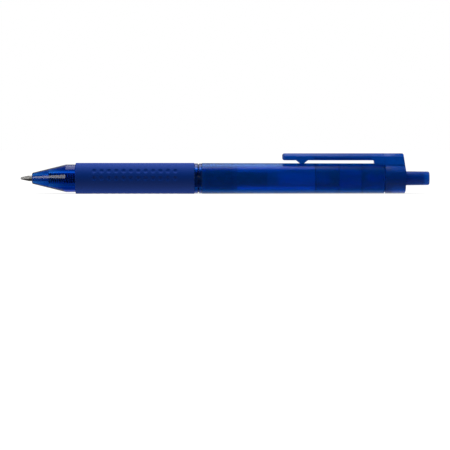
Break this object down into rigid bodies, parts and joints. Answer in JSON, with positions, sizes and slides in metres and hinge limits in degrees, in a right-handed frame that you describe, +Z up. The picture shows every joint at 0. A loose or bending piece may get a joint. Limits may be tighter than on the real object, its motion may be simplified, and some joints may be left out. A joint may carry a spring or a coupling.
{
  "type": "gel pen",
  "caption": "Retractable gel pen: a clear nose, a dimpled grip, a frosted barrel with a sprung clip, and a button that clicks the refill out and in.",
  "frame": {"origin": "on the pen's axis at the middle of the grip", "axes": "+X along the pen towards the button, so the writing point is at -X; +Z up through the clip; the pen is shown ready to write"},
  "size_m": [0.143, 0.0108, 0.0142],
  "materials": {
    "clear_blue": "glossy, clear",
    "grip_silicone": "matte",
    "frosted_blue": "satin, translucent",
    "satin_blue": "satin",
    "guide_plastic": "satin",
    "button_blue": "satin",
    "rotor_plastic": "satin",
    "spring_wire": "drawn wire",
    "refill_plastic": "translucent",
    "gel_ink": "wet",
    "follower_grease": "wet, clear",
    "holder_plastic": "satin",
    "tip_metal": "turned, plated",
    "ball_carbide": "polished"
  },
  "bodies": {
    "housing": {"front_section": "clear_blue", "grip_sleeve": "grip_silicone", "barrel": "frosted_blue", "rear_cap": "satin_blue", "cam_guide": "guide_plastic", "return_spring": "spring_wire"},
    "clip": {"clip_arm": "satin_blue"},
    "button": {"push_button": "button_blue"},
    "refill": {"refill_tube": "refill_plastic", "gel_ink": "gel_ink", "ink_follower": "follower_grease", "tip_holder": "holder_plastic", "writing_tip": "tip_metal", "writing_ball": "ball_carbide"},
    "rotor": {"cam_rotor": "rotor_plastic"}
  },
  "joints": [
    {"name": "button_press", "type": "slide", "parent": "housing", "child": "button", "axis": [1, 0, 0], "range_m": [-0.001, 0.0056]},
    {"name": "refill_slide", "type": "slide", "parent": "housing", "child": "refill", "axis": [1, 0, 0], "range_m": [-0.001, 0.0056], "deforming": ["return_spring"]},
    {"name": "rotor_turn", "type": "hinge", "parent": "refill", "child": "rotor", "pos_m": [0.07497, 0, 0], "axis": [1, 0, 0], "continuous": true},
    {"name": "clip_flex", "type": "hinge", "parent": "housing", "child": "clip", "pos_m": [0.08736, 0, 0.00875], "axis": [0, 1, 0], "range_deg": [0, 4], "stiffness_Nm_per_rad": 2.5}
  ],
  "couplings": [
    {"joint": "refill_slide", "follows": "button_press", "ratio": 1}
  ]
}
